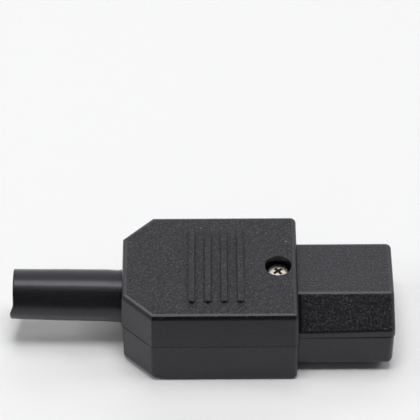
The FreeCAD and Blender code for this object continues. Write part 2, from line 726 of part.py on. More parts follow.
    # Holes: cable, screws, nut and blades
    cable_way = [("circle", "0", "parting_height", "cable / 2")]
    shell.pocket("CableRestCut", "YZ_Plane", "saddle_x - saddle_length / 2", cable_way, "saddle_length")
    shell.pocket(
        "BootHole",
        "YZ_Plane",
        "tail_x - 1",
        [("circle", "0", "parting_height", "boot_hole")],
        "rib_back_x + collar_rib + 1 - (tail_x - 1)",
    )
    hole = [("circle", "screw_x", "0", "screw_hole")]
    shell.pocket("ScrewHole", "XY_Plane", "parting_height + 1", hole, "parting_height + 2", backwards=True)
    corners = []
    for angle in (0, 60, 120, 180, 240, 300):
        corners.append(
            (
                "screw_x + (nut_corner + nut_gap) * cos(%d)" % angle,
                "(nut_corner + nut_gap) * sin(%d)" % angle,
            )
        )
    shell.pocket("NutPocket", "XY_Plane", "-1", [corners], "nut_roof + 1")
    live_holes = []
    for sign in ("", "-"):
        live_holes.append(("circle", "live_screw_x", sign + "live_y", "terminal_hole"))
    earth_hole = [("circle", "earth_screw_x", "0", "terminal_hole")]
    hole_depth = "1 + terminal_screw_length + tip_gap - contact_sheet - clamp_plate_thick"
    shell.pocket("LiveScrewHoles", "XY_Plane", "live_tail + 1", live_holes, hole_depth, backwards=True)
    shell.pocket("EarthScrewHole", "XY_Plane", "earth_base + 1", earth_hole, hole_depth, backwards=True)
    pilot = "saddle_screw_shank / 2 + thread_gap"
    pilots = [
        ("circle", "saddle_x", "saddle_screw_side", pilot),
        ("circle", "saddle_x", "-saddle_screw_side", pilot),
    ]
    pilot_depth = "1 + saddle_screw_length - saddle_thick + tip_gap"
    shell.pocket("PilotHoles", "XY_Plane", "saddle_foot_z + 1", pilots, pilot_depth, backwards=True)
    earth_low = "earth_line - slot_height / 2"
    slots = [rectangle("-slot_width / 2", earth_low, "slot_width / 2", "parting_height + 1")]
    for sign in ("", "-"):
        slots.append(
            rectangle(
                "%s(live_y - slot_width / 2)" % sign,
                "pin_line - slot_height / 2",
                "%s(live_y + slot_width / 2)" % sign,
                "parting_height + 1",
            )
        )
    shell.pocket("BladeSlots", "YZ_Plane", "channel_end_x - fuse_depth", slots, "face_wall + 1")

    # Tongue along both sides
    tongues = []
    for sign in ("", "-"):
        tongues.append(
            rectangle(
                "root_x - tongue_setback - tongue_length",
                sign + "cavity_side",
                "root_x - tongue_setback",
                "%s(cavity_side + tongue_thick)" % sign,
            )
        )
    shell.pad("Tongues", "XY_Plane", "parting_height - fuse_depth", tongues, "fuse_depth + tongue_rise")


def leaf_corners(sign):
    """Plan of one spring leaf on the side that sign names, as its outer corners and then its inner ones."""
    root = "leaf_spread / 2"
    throat = "(leaf_throat / 2 + contact_sheet)"
    mouth = "(leaf_mouth / 2 + contact_sheet)"
    outer = [
        ("leaf_back_x", sign + root),
        ("leaf_root_x", sign + root),
        ("throat_x", sign + throat),
        ("leaf_tip_x", sign + mouth),
    ]
    inner = [
        ("leaf_tip_x", "%s(%s - contact_sheet)" % (sign, mouth)),
        ("throat_x", "%s(%s - contact_sheet)" % (sign, throat)),
        ("leaf_root_x", "%s(%s - contact_sheet)" % (sign, root)),
    ]
    return outer, inner


def soften_leaves(contact):
    """Rolls the sharp bends of the leaves at their throat and root."""
    doc.recompute()
    box = contact.body.Tip.Shape.BoundBox
    low = box.XMax - value("mouth_length") - 1
    high = box.XMax - 1

    def is_bend(edge):
        return is_upright(edge) and low < edge.BoundBox.XMin < high

    contact.fillet("LeafBends", "contact_sheet", is_bend)


def make_live_contact(label, sign):
    """Line or neutral contact: two leaves folded up from a strip that steps up to its terminal."""
    contact = Piece(label)
    shift = "%slive_y" % sign

    def moved(corners):
        return [(across, "%s + (%s)" % (shift, up)) for across, up in corners]

    leaves = []
    for side in ("", "-"):
        outer, inner = leaf_corners(side)
        back = ("leaf_back_x", "%s(leaf_spread / 2 - contact_sheet)" % side)
        leaves.append(moved(outer + inner + [back]))
    step = "contact_sheet * " + BEND
    bend_x = "leaf_back_x - 1"
    strip = [
        ("leaf_root_x", "live_base"),
        (bend_x, "live_base"),
        (bend_x + " - live_rise", "live_tail"),
        ("live_screw_x - terminal_length / 2", "live_tail"),
        ("live_screw_x - terminal_length / 2", "live_tail + contact_sheet"),
        ("%s - live_rise + %s" % (bend_x, step), "live_tail + contact_sheet"),
        ("%s + %s" % (bend_x, step), "live_base + contact_sheet"),
        ("leaf_root_x", "live_base + contact_sheet"),
    ]
    contact.pad("Strip", "XZ_Plane", "-(%s)" % shift, [strip], "leaf_spread", middle=True)
    contact.pad("Leaves", "XY_Plane", "live_base", leaves, "leaf_height + contact_sheet")
    soften_leaves(contact)
    plate = rectangle(
        "live_screw_x - terminal_length / 2",
        "-terminal_width / 2",
        "live_screw_x + terminal_length / 2",
        "terminal_width / 2",
    )
    contact.pad("Terminal", "XY_Plane", "live_tail", [moved(plate)], "contact_sheet")
    hole = "terminal_shank / 2 + thread_gap"
    spot = [("circle", "live_screw_x", shift, hole)]
    contact.pocket("TerminalHole", "XY_Plane", "live_tail - 1", spot, "contact_sheet + 2")


def make_earth_contact():
    """Earth contact: a fork whose one leaf runs on past the housing screw's post to a folded terminal."""
    contact = Piece("earth_contact")
    left_outer, left_inner = leaf_corners("")
    right_outer, right_inner = leaf_corners("-")
    inner_root = "(leaf_spread / 2 - contact_sheet)"
    web_x = "leaf_back_x + contact_sheet"
    fork = left_outer + left_inner + [(web_x, inner_root), (web_x, "-" + inner_root)]
    fork += right_inner[::-1] + right_outer[::-1]
    contact.pad("Fork", "XY_Plane", "earth_base", [fork], "leaf_height")
    soften_leaves(contact)
    end_x = "earth_screw_x - terminal_length / 2"
    outer_side = "strip_side + contact_sheet"
    tail = [
        ("leaf_back_x + 1", "leaf_spread / 2"),
        ("leaf_back_x", "leaf_spread / 2"),
        ("leaf_back_x - 1", outer_side),
        (end_x, outer_side),
        (end_x, "strip_side"),
        ("leaf_back_x - 1 - contact_sheet * " + BEND, "strip_side"),
        ("leaf_back_x - contact_sheet * " + BEND, inner_root),
        ("leaf_back_x + 1", inner_root),
    ]
    contact.pad("Tail", "XY_Plane", "earth_base", [tail], "earth_tail_height")
    tab = rectangle(end_x, "-terminal_width / 2", "earth_screw_x + terminal_length / 2", outer_side)
    contact.pad("Terminal", "XY_Plane", "earth_base", [tab], "contact_sheet")
    hole = "terminal_shank / 2 + thread_gap"
    spot = [("circle", "earth_screw_x", "0", hole)]
    contact.pocket("TerminalHole", "XY_Plane", "earth_base - 1", spot, "contact_sheet + 2")


def make_clamp_plate(label, across, side, level):
    """Square plate that the terminal screw presses on the bared wire, with its corners taken off."""
    plate = Piece(label)
    plan = cut_rectangle(across, side, "clamp_plate / 2", "clamp_plate / 2", "clamp_plate / 8")
    plate.pad("Plate", "XY_Plane", level, [plan], "clamp_plate_thick")
    hole = ("circle", across, side, "terminal_hole")
    plate.pocket("Hole", "XY_Plane", level + " - 1", [hole], "clamp_plate_thick + 2")


def make_screw(label, across, side, seat, shank, length, head, head_rise):
    """Pan head screw with a cross recess, standing on its seat."""
    screw = Piece(label)
    screw.pad("Shank", "XY_Plane", seat, [("circle", across, side, shank)], length, backwards=True)
    screw.pad("Head", "XY_Plane", seat, [("circle", across, side, head)], head_rise)
    top = screw.height()[1]
    screw.bevel("HeadBevel", "head_bevel", lambda edge: at_height(edge, top))
    arm = "(%s * 0.62)" % head
    half = "drive_width / 2"
    bars = [
        (half, arm),
        (half, half),
        (arm, half),
        (arm, "-" + half),
        (half, "-" + half),
        (half, "-" + arm),
        ("-" + half, "-" + arm),
        ("-" + half, "-" + half),
        ("-" + arm, "-" + half),
        ("-" + arm, half),
        ("-" + half, half),
        ("-" + half, arm),
    ]
    cross = [("%s + (%s)" % (across, x), "%s + (%s)" % (side, y)) for x, y in bars]
    drive_floor = "%s + %s - drive_depth" % (seat, head_rise)
    screw.pocket("Drive", "XY_Plane", drive_floor, [cross], "drive_depth + 1")


def make_nut():
    """Plain hexagon nut, caught in its pocket under the lower shell."""
    nut = Piece("housing_nut")
    corners = []
    for angle in (0, 60, 120, 180, 240, 300):
        corners.append(("screw_x + nut_corner * cos(%d)" % angle, "nut_corner * sin(%d)" % angle))
    nut.pad("Hexagon", "XY_Plane", "nut_sink", [corners], "nut_rise")
    hole = ("circle", "screw_x", "0", "screw_shank / 2 + thread_gap")
    nut.pocket("Thread", "XY_Plane", "nut_sink - 1", [hole], "nut_rise + 2")


def make_saddle():
    """Arched strap that presses the cable down between its two screws."""
    saddle = Piece("cable_saddle")
    half = "saddle_side"
    foot_in = "(saddle_screw_side - terminal_head / 2 - fit_gap - 0.3)"
    top = "(parting_height + cable / 2)"
    crown = "cable / 4"
    thick = "saddle_thick"
    strap = [
        ("-" + half, "saddle_foot_z"),
        ("-" + foot_in, "saddle_foot_z"),
        ("-" + crown, top),
        (crown, top),
        (foot_in, "saddle_foot_z"),
        (half, "saddle_foot_z"),
        (half, "saddle_foot_z + " + thick),
        (foot_in, "saddle_foot_z + " + thick),
        (crown + " + 0.4 * " + thick, "%s + %s" % (top, thick)),
        ("-(%s + 0.4 * %s)" % (crown, thick), "%s + %s" % (top, thick)),
        ("-" + foot_in, "saddle_foot_z + " + thick),
        ("-" + half, "saddle_foot_z + " + thick),
    ]
    saddle.pad("Strap", "YZ_Plane", "saddle_x - saddle_length / 2", [strap], "saddle_length")
    saddle.bevel("EndCorners", "saddle_thick", is_upright)
    hole = "saddle_screw_shank / 2 + passing_gap"
    holes = [
        ("circle", "saddle_x", "saddle_screw_side", hole),
        ("circle", "saddle_x", "-saddle_screw_side", hole),
    ]
    saddle.pocket("Holes", "XY_Plane", "saddle_foot_z - 1", holes, "saddle_thick + 2")


def make_boot():
    """Rubber sleeve, turned about the cable's axis, with a collar that the two shells trap."""
    boot = Piece("cable_boot")
    axis = "parting_height"
    bore = "boot_bore / 2"
    neck = "boot_root / 2"
    profile = [
        ("boot_end_x", bore),
        ("collar_front_x + boot_inner", bore),
        ("collar_front_x + boot_inner", neck),
        ("collar_front_x", neck),
        ("collar_front_x", "collar_side"),
        ("collar_back_x", "collar_side"),
        ("collar_back_x", neck),
        ("tail_x - fit_gap", neck),
        ("boot_end_x", "boot_tail / 2"),
    ]
    lifted = [(across, "%s + %s" % (axis, up)) for across, up in profile]
    sketch = boot.sketch("SleeveSketch", "XZ_Plane", "0", [lifted])
    line = sketch.addGeometry(Part.LineSegment(FreeCAD.Vector(-1, 1, 0), FreeCAD.Vector(1, 1, 0)), True)
    boot.place(sketch, line, 1, FreeCAD.Vector(-1, 1, 0), "-1", axis)
    boot.place(sketch, line, 2, FreeCAD.Vector(1, 1, 0), "1", axis)
    sleeve = boot.body.newObject("PartDesign::Revolution", "Sleeve")
    sleeve.Profile = sketch
    sleeve.ReferenceAxis = (sketch, ["Axis0"])
    sleeve.Angle = 360
    sketch.Visibility = False
    cut = "boot_trim_curve"
    reach = "(boot_tail / 2 + boot_trim_shift)"
    across = "boot_end_x - sqrt(%s * %s - %s * %s)" % (cut, cut, reach, reach)
    up = "parting_height * sin(boot_trim_turn) + boot_trim_shift"
    trim = [("circle", across, up, cut)]
    boot.pocket("TrimmedEnd", "XY_Plane", "0", trim, "4 * body_height", turn="boot_trim_turn", middle=True)


def check(objects):
    """Stops with a message if any object failed or any piece is not one sound solid."""
    for thing in objects:
        if "Invalid" in thing.State or "Error" in thing.State:
            raise RuntimeError("%s (%s) failed: %s" % (thing.Name, thing.Label, thing.State))
    for piece in pieces:
        shape = piece.Shape
        if shape.isNull() or not shape.isValid() or len(shape.Solids) != 1:
            raise RuntimeError("%s is not one valid solid" % piece.Label)


sheet = make_sheet()
make_upper_shell()
make_lower_shell()
make_boot()
make_live_contact("line_contact", "")
make_live_contact("neutral_contact", "-")
make_earth_contact()
for pole, spot, offset, base in (
    ("line", "live_screw_x", "live_y", "live_tail"),
    ("neutral", "live_screw_x", "-live_y", "live_tail"),
    ("earth", "earth_screw_x", "0", "earth_base"),
):
    make_clamp_plate(pole + "_clamp_plate", spot, offset, base + " + contact_sheet")
    make_screw(
        pole + "_terminal_screw",
        spot,
        offset,
        base + " + contact_sheet + clamp_plate_thick",
        "terminal_shank / 2",
        "terminal_screw_length",
        "terminal_head / 2",
        "terminal_head_rise",
    )
make_saddle()
for side_name, sign in (("left", ""), ("right", "-")):
    make_screw(
        side_name + "_saddle_screw",
        "saddle_x",
        sign + "saddle_screw_side",
        "saddle_foot_z + saddle_thick",
        "saddle_screw_shank / 2",
        "saddle_screw_length",
        "terminal_head / 2",
        "terminal_head_rise",
    )
make_screw(
    "housing_screw",
    "screw_x",
    "0",
    "screw_seat",
    "screw_shank / 2",
    "screw_length",
    "screw_head / 2",
    "screw_head_rise",
)
make_nut()

doc.recompute()
check(doc.Objects)
os.makedirs("parts", exist_ok=True)
for piece in pieces:
    piece.Shape.exportStep("parts/%s.step" % piece.Label)
    print("%-24s %9.2f mm3" % (piece.Label, piece.Shape.Volume))
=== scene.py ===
"""Looks of the rewireable appliance connector.

Black moulded housing, rubber boot, plated screws and brass contacts.
"""

import json
import math

import bmesh
import bpy
from mathutils import Matrix, Vector


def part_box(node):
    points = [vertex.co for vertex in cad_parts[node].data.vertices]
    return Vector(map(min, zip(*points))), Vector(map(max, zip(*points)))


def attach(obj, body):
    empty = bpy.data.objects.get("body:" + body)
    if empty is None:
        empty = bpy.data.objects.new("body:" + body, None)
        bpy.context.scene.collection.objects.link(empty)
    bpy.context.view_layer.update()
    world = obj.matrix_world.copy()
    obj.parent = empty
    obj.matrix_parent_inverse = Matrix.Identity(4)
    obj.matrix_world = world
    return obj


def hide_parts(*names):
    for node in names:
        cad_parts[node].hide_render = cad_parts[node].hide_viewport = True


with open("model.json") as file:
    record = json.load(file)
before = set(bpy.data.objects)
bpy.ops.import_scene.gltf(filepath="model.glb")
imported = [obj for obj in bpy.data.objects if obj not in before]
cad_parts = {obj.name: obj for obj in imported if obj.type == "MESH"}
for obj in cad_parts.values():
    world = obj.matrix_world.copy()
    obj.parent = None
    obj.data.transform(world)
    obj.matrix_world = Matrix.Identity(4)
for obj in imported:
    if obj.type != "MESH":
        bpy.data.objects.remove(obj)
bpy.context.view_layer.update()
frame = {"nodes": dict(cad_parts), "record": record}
nodes = frame["nodes"]
MM = 0.001

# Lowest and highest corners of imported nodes, in metres
boot_low, boot_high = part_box("cable_boot")
shell_low, shell_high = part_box("upper_shell")
screw_low, screw_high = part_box("housing_screw")

# The boot's axis lies in the plane where the two shells part
PARTING = (boot_low.z + boot_high.z) / 2
NOSE_REACH = 18.4 * MM  # a little less than the nose stands out of the body
NOSE_ROOT = shell_high.x - NOSE_REACH


# Small steps that every node tree uses


def add(tree, kind, **settings):
    """A new node with its settings. A setting named like a socket sets that socket's value."""
    node = tree.nodes.new(kind)
    for name, value in settings.items():
        if hasattr(node, name):
            setattr(node, name, value)
        else:
            node.inputs[name.replace("_", " ")].default_value = value
    return node


def link(tree, source, output, target, socket):
    """Joins an output to an input."""
    tree.links.new(source.outputs[output], target.inputs[socket])


def axes(tree, kind, output):
    """The X, Y and Z of what a node of this kind puts out."""
    split = add(tree, "ShaderNodeSeparateXYZ")
    link(tree, add(tree, kind), output, split, 0)
    return split


def noise(tree, place, scale, detail, roughness):
    """Noise over a place, which is a (node, output) pair. The scale is a number or such a pair."""
    node = add(tree, "ShaderNodeTexNoise", Detail=detail, Roughness=roughness)
    link(tree, *place, node, "Vector")
    if isinstance(scale, tuple):
        link(tree, *scale, node, "Scale")
    else:
        node.inputs["Scale"].default_value = scale
    return node


RISE, FALL = (0.0, 1.0), (1.0, 0.0)


def ranged(tree, source, output, span, result, smooth=True):
    """The source's value, which runs over the result's two numbers while it goes over the span's."""
    kind = "SMOOTHSTEP" if smooth else "LINEAR"
    node = add(tree, "ShaderNodeMapRange", interpolation_type=kind)
    for socket, value in zip(("From Min", "From Max", "To Min", "To Max"), span + result):
        node.inputs[socket].default_value = value
    link(tree, source, output, node, "Value")
    return node


def combined(tree, operation, one, two):
    """Two values put together. Each is a number, a (node, output) pair, or a node's first output."""
    node = add(tree, "ShaderNodeMath", operation=operation)
    for socket, part in enumerate((one, two)):
        if isinstance(part, float):
            node.inputs[socket].default_value = part
        else:
            link(tree, *(part if isinstance(part, tuple) else (part, 0)), node, socket)
    return node


def mix_colour(tree, factor, low, high):
    """A colour between low and high, each a colour or an output. The factor is as in combined."""
    mix = add(tree, "ShaderNodeMix", data_type="RGBA")
    for socket, value in ((6, low), (7, high)):
        if isinstance(value, tuple):
            mix.inputs[socket].default_value = value
        else:
            tree.links.new(value, mix.inputs[socket])
    link(tree, *(factor if isinstance(factor, tuple) else (factor, 0)), mix, 0)
    return mix.outputs[2]


def new_material(name, **settings):
    """A material with one principled surface. Gives the material, its tree and the surface."""
    material = bpy.data.materials.new(name)
    material.use_nodes = True
    tree = material.node_tree
    tree.nodes.clear()
    surface = add(tree, "ShaderNodeBsdfPrincipled", **settings)
    link(tree, surface, 0, add(tree, "ShaderNodeOutputMaterial"), 0)
    return material, tree, surface


def raise_bumps(tree, surface, height, strength, distance):
    """Gives the surface bumps by a height, which is a (node, output) pair."""
    bump = add(tree, "ShaderNodeBump", Strength=strength, Distance=distance)
    link(tree, *height, bump, "Height")
    link(tree, bump, 0, surface, "Normal")


# Groups that more than one material uses


def new_group(name, inputs, outputs):
    """An empty shader group with number sockets. inputs maps each name to its default."""
    group = bpy.data.node_groups.new(name, "ShaderNodeTree")
    for label, default in inputs.items():
        socket = group.interface.new_socket(name=label, in_out="INPUT", socket_type="NodeSocketFloat")
        socket.default_value = default
    for label in outputs:
        group.interface.new_socket(name=label, in_out="OUTPUT", socket_type="NodeSocketFloat")
    return group, group.nodes.new("NodeGroupInput"), group.nodes.new("NodeGroupOutput")


def place_group(tree, group, **values):
    """The group as a node of the material's tree, with plain values on its inputs."""
    node = tree.nodes.new("ShaderNodeGroup")
    node.node_tree = group
    for name, value in values.items():
        node.inputs[name.replace("_", " ")].default_value = value
    return node


PAINTED_GLINT_SPAN = (0.48, 0.66)  # noise at which a peak starts to take the painted glint, and takes it fully


def make_grain_group():
    """Spark-eroded grain of a mould: a height, sparse peaks that take the painted glint, and a slow mottle.
    """
    inputs = {
        "Fine per metre": 3600.0,
        "Coarse per metre": 1500.0,
        "Coarse share": 0.35,
        "Peaks per metre": 2700.0,
    }
    group, source, target = new_group("Moulded grain", inputs, ("Height", "Peaks", "Mottle"))
    place = add(group, "ShaderNodeTexCoord"), "Object"
    fine = noise(group, place, (source, "Fine per metre"), 2.0, 0.6)
    coarse = noise(group, place, (source, "Coarse per metre"), 1.0, 0.5)
    share = add(group, "ShaderNodeMix", data_type="FLOAT")
    link(group, source, "Coarse share", share, 0)
    link(group, fine, "Fac", share, 2)
    link(group, coarse, "Fac", share, 3)
    link(group, share, 0, target, "Height")
    painted_glints = noise(group, place, (source, "Peaks per metre"), 4.0, 0.8)
    link(group, ranged(group, painted_glints, "Fac", PAINTED_GLINT_SPAN, RISE), 0, target, "Peaks")
    link(group, noise(group, place, 170.0, 3.0, 0.55), "Fac", target, "Mottle")
    return group


UPWARD_SPECK_SLOPE = (0.2, 0.8)  # upward share of the normal at which specks start, and show fully: dust that stays there, and painted sparkle


def make_dust_and_sparkle_group():
    """Sparse pale specks on upward faces: dust, and with more and bigger specks, painted sparkle."""
    inputs = {"Specks per metre": 420.0, "Share": 0.05, "Speck size": 0.1}
    group, source, target = new_group("Dust and sparkle specks", inputs, ("Mask",))
    cells = add(group, "ShaderNodeTexVoronoi", feature="F1", Randomness=1.0)
    link(group, add(group, "ShaderNodeTexCoord"), "Object", cells, "Vector")
    link(group, source, "Specks per metre", cells, "Scale")
    core = combined(group, "MULTIPLY", (source, "Speck size"), 0.5)
    speck = add(group, "ShaderNodeMapRange", interpolation_type="SMOOTHSTEP")
    link(group, source, "Speck size", speck, "From Min")
    link(group, core, 0, speck, "From Max")
    link(group, cells, "Distance", speck, "Value")
    chance = add(group, "ShaderNodeSeparateColor")
    link(group, cells, "Color", chance, 0)
    chosen = combined(group, "LESS_THAN", chance, (source, "Share"))
    normal = axes(group, "ShaderNodeNewGeometry", "Normal")
    upward = ranged(group, normal, "Z", UPWARD_SPECK_SLOPE, RISE, smooth=False)
    some = combined(group, "MULTIPLY", speck, chosen)
    link(group, combined(group, "MULTIPLY", some, upward), 0, target, "Mask")
    return group


grain_group = make_grain_group()
dust_and_sparkle_group = make_dust_and_sparkle_group()


# Spans of the housing's masks. A slope is the upward share of the face's normal.
TOP_SLOPE = (0.8, 0.97)
CORNER_SLOPE_LOW = (0.5, 0.62)
CORNER_SLOPE_HIGH = (0.9, 0.8)
# The top's rounding, which takes a painted highlight
ROUNDING_SLOPE_LOW = (0.8, 0.88)
ROUNDING_SLOPE_HIGH = (0.998, 0.99)
FRONT_SLOPE = (-0.03, -0.15)  # share of the normal towards -Y
SEAM_HEIGHT = PARTING + 0.04 * MM
# The painted shadow line along the seam, fainter towards the nose
SEAM_EDGE = (0.13 * MM, 0.26 * MM)
SEAM_FADE = (-11 * MM, -9.5 * MM)
FLASH_EDGE = (0.0, 0.16 * MM)


def placed_masks(tree):
    """Masks of the housing: facing up, on the nose, on the nose's cut corners, the moulding flash,
    the painted shadow line in the seam between the shells, and the painted highlight on the top's rounding,
    most of it in front."""
    spot = axes(tree, "ShaderNodeTexCoord", "Object")
    lean = axes(tree, "ShaderNodeNewGeometry", "True Normal")
    upward = ranged(tree, lean, "Z", TOP_SLOPE, RISE)
    on_nose = ranged(tree, spot, "X", (NOSE_ROOT, NOSE_ROOT + 0.2 * MM), RISE)
    slanting = combined(
        tree, "MULTIPLY",
        ranged(tree, lean, "Z", CORNER_SLOPE_LOW, RISE),
        ranged(tree, lean, "Z", CORNER_SLOPE_HIGH, RISE),
    )
    corners = combined(tree, "MULTIPLY", slanting, on_nose)
    off_seam = combined(tree, "ABSOLUTE", combined(tree, "SUBTRACT", (spot, "Z"), SEAM_HEIGHT), 0.0)
    flash = ranged(tree, off_seam, 0, FLASH_EDGE, FALL, smooth=False)
    line = ranged(tree, off_seam, 0, SEAM_EDGE, FALL, smooth=False)
    # Painted shadow in the seam between the shells, fainter towards the nose
    seam_shadow = combined(tree, "MULTIPLY", line, ranged(tree, spot, "X", SEAM_FADE, (1.0, 0.3)))
    rounding = combined(
        tree, "MULTIPLY",
        ranged(tree, lean, "Z", ROUNDING_SLOPE_LOW, RISE),
        ranged(tree, lean, "Z", ROUNDING_SLOPE_HIGH, RISE),
    )
    # Painted highlight on the top's rounding, strongest on the front side
    painted_edge_highlight = combined(tree, "MULTIPLY", rounding, ranged(tree, lean, "Y", FRONT_SLOPE, (0.3, 1.0)))
    return upward, on_nose, corners, flash, seam_shadow, painted_edge_highlight


# Colours of the black plastic and rubber
COOL_TINT = (0.93, 0.915, 1.0, 1.0)
HOUSING_BLACK = (0.002, 0.002, 0.003, 1)
# Paler black on the nose's top: painted light, as more light falls there than on the body's top
PAINTED_LIT_NOSE_BLACK = (0.012, 0.012, 0.014, 1)
# Pale grey painted on the grain's peaks: painted glint, strongest on upward faces
PAINTED_GLINT_GREY = (0.085, 0.085, 0.09, 1)
# Painted highlight on the top's rounded edges
PAINTED_HIGHLIGHT_GREY = (0.1, 0.1, 0.105, 1)
# Painted sparkle: pale specks that stand for light glinting on upward faces
PAINTED_SPARKLE_GREY = (0.1, 0.1, 0.108, 1)
DUST_GREY = (0.2, 0.2, 0.19, 1.0)
# Painted shadow in the seam between the shells
PAINTED_SEAM_SHADOW = (0.0, 0.0, 0.0, 1)
BOOT_BLACK = (0.006, 0.006, 0.007, 1)
BOOT_STREAK = (0.011, 0.011, 0.012, 1)

# The housing's painted glint, light that the grain's peaks catch: how strong on the walls and in the open,
# and what share of that where
PAINTED_GLINTS = (0.1, 1.0)
PAINTED_GLINTS_ON_TOP = 0.8
PAINTED_GLINTS_ON_CORNERS = 0.7
# Share of the painted highlight on the top's rounding
PAINTED_HIGHLIGHT_SHARE = 0.9

# The housing's grain, as shares of its height
GRAIN_HEIGHT = 0.3 * MM
COARSE_SHARE = (0.35, 0.6)  # elsewhere, and on the cut corners
GRAIN_DEPTH = (0.15, 1.0)  # on the walls, and on the top
GRAIN_ON_CORNERS = 0.8
FLASH_HEIGHT = 0.1

# Roughness, which drifts over the mottle or the streaks
MOTTLE_SPAN = (0.3, 0.7)
HOUSING_ROUGHNESS = (0.28, 0.36)
ROUGHER_TOP = 0.1
ROUGHER_SEAM = 0.6
BOOT_ROUGHNESS = (0.25, 0.32)

# The boot's skin
BOOT_STRETCH = (0.08, 1.0, 1.0)  # draws the streaks out along the sleeve
BOOT_GRAIN_HEIGHT = 0.02 * MM

# The metals' drawn lines
LINE_STRENGTH = 0.6
LINE_HEIGHT = 0.004 * MM
PATCH_SPAN = (0.35, 0.7)


def housing_plastic():
    """Black moulded plastic: grained on top, coarser on the nose's cut corners, smoother down the sides."""
    material, tree, surface = new_material("Housing plastic", IOR=1.5, Specular_Tint=COOL_TINT)
    upward, on_nose, corners, flash, seam_shadow, painted_edge_highlight = placed_masks(tree)
    grain = place_group(tree, grain_group, Fine_per_metre=4200.0, Coarse_per_metre=2600.0)
    link(tree, ranged(tree, corners, 0, RISE, COARSE_SHARE, smooth=False), 0, grain, "Coarse share")

    # Colour: painted glint on the grain peaks over a black ground that is paler on the nose's top as
    # painted light, a painted highlight on the top's rounding, painted sparkle specks, real dust, and the
    # painted seam shadow over them all
    painted_glint_facing = combined(
        tree, "MAXIMUM",
        combined(tree, "MULTIPLY", upward, PAINTED_GLINTS_ON_TOP),
        combined(tree, "MULTIPLY", corners, PAINTED_GLINTS_ON_CORNERS),
    )
    # Painted glint: the grain's peaks turn paler where the faces look up and on the cut corners
    painted_glints = combined(
        tree, "MULTIPLY", (grain, "Peaks"), ranged(tree, painted_glint_facing, 0, RISE, PAINTED_GLINTS, smooth=False)
    )
    # The nose's top takes a paler black: painted light
    painted_lit_nose_top = combined(tree, "MULTIPLY", on_nose, upward)
    # Painted sparkle specks on upward faces
    painted_sparkle = place_group(tree, dust_and_sparkle_group, Specks_per_metre=1500.0, Share=0.3, Speck_size=0.24)
    dust = place_group(tree, dust_and_sparkle_group, Share=0.03)
    colour = mix_colour(tree, painted_lit_nose_top, HOUSING_BLACK, PAINTED_LIT_NOSE_BLACK)
    for mask, shade in (
        (painted_glints, PAINTED_GLINT_GREY),
        (combined(tree, "MULTIPLY", painted_edge_highlight, PAINTED_HIGHLIGHT_SHARE), PAINTED_HIGHLIGHT_GREY),
        ((painted_sparkle, "Mask"), PAINTED_SPARKLE_GREY),
        ((dust, "Mask"), DUST_GREY),
        (seam_shadow, PAINTED_SEAM_SHADOW),
    ):
        colour = mix_colour(tree, mask, colour, shade)
    tree.links.new(colour, surface.inputs["Base Color"])

    # The painted seam shadow is black metal, which keeps the room's reflection off it
    link(tree, seam_shadow, 0, surface, "Metallic")
    satin = ranged(tree, grain, "Mottle", MOTTLE_SPAN, HOUSING_ROUGHNESS)
    rougher = combined(tree, "MULTIPLY", combined(tree, "MAXIMUM", upward, corners), ROUGHER_TOP)
    moulded = combined(tree, "ADD", satin, rougher)
    matt_seam = combined(tree, "MULTIPLY", seam_shadow, ROUGHER_SEAM)
    link(tree, combined(tree, "ADD", moulded, matt_seam), 0, surface, "Roughness")

    # Height: grain on the top and the cut corners, little down the sides, and the flash
    depth = combined(
        tree, "ADD",
        ranged(tree, upward, 0, RISE, GRAIN_DEPTH, smooth=False),
        combined(tree, "MULTIPLY", corners, GRAIN_ON_CORNERS),
    )
    bumps = combined(tree, "MULTIPLY", (grain, "Height"), depth)
    height = combined(tree, "ADD", bumps, combined(tree, "MULTIPLY", flash, FLASH_HEIGHT))
    raise_bumps(tree, surface, (height, 0), 1.0, GRAIN_HEIGHT)
    return material


def boot_rubber():
    """Black rubber with a satin skin: smooth, faintly streaked along the sleeve, with a few dust specks."""
    material, tree, surface = new_material("Boot rubber", IOR=1.5, Specular_Tint=COOL_TINT)
    along = add(tree, "ShaderNodeMapping")
    along.inputs["Scale"].default_value = BOOT_STRETCH
    link(tree, add(tree, "ShaderNodeTexCoord"), "Object", along, "Vector")
    streaks = noise(tree, (along, 0), 900.0, 3.0, 0.5)
    grain = place_group(tree, grain_group, Fine_per_metre=3000.0, Coarse_per_metre=700.0, Coarse_share=0.5)
    skin = mix_colour(tree, (streaks, "Fac"), BOOT_BLACK, BOOT_STREAK)
    dust = place_group(tree, dust_and_sparkle_group, Share=0.02)
    dusty = mix_colour(tree, (dust, "Mask"), skin, DUST_GREY)
    tree.links.new(dusty, surface.inputs["Base Color"])
    link(tree, ranged(tree, streaks, "Fac", MOTTLE_SPAN, BOOT_ROUGHNESS), 0, surface, "Roughness")
    raise_bumps(tree, surface, (grain, "Height"), 1.0, BOOT_GRAIN_HEIGHT)
    return material


def plated_metal(name, bright, dull, roughness, lines_per_metre):
    """Bright metal with faint drawn lines and warmer, duller patches."""
    material, tree, surface = new_material(name, Metallic=1.0)
    place = add(tree, "ShaderNodeTexCoord"), "Object"
    patches = noise(tree, place, 900.0, 4.0, 0.6)
    patchy = ranged(tree, patches, "Fac", PATCH_SPAN, RISE, smooth=False)
    tree.links.new(mix_colour(tree, patchy, bright, dull), surface.inputs["Base Color"])
    lines = noise(tree, place, lines_per_metre, 2.0, 0.5)
    link(tree, ranged(tree, lines, "Fac", RISE, roughness, smooth=False), 0, surface, "Roughness")
    raise_bumps(tree, surface, (lines, "Fac"), LINE_STRENGTH, LINE_HEIGHT)
    return material


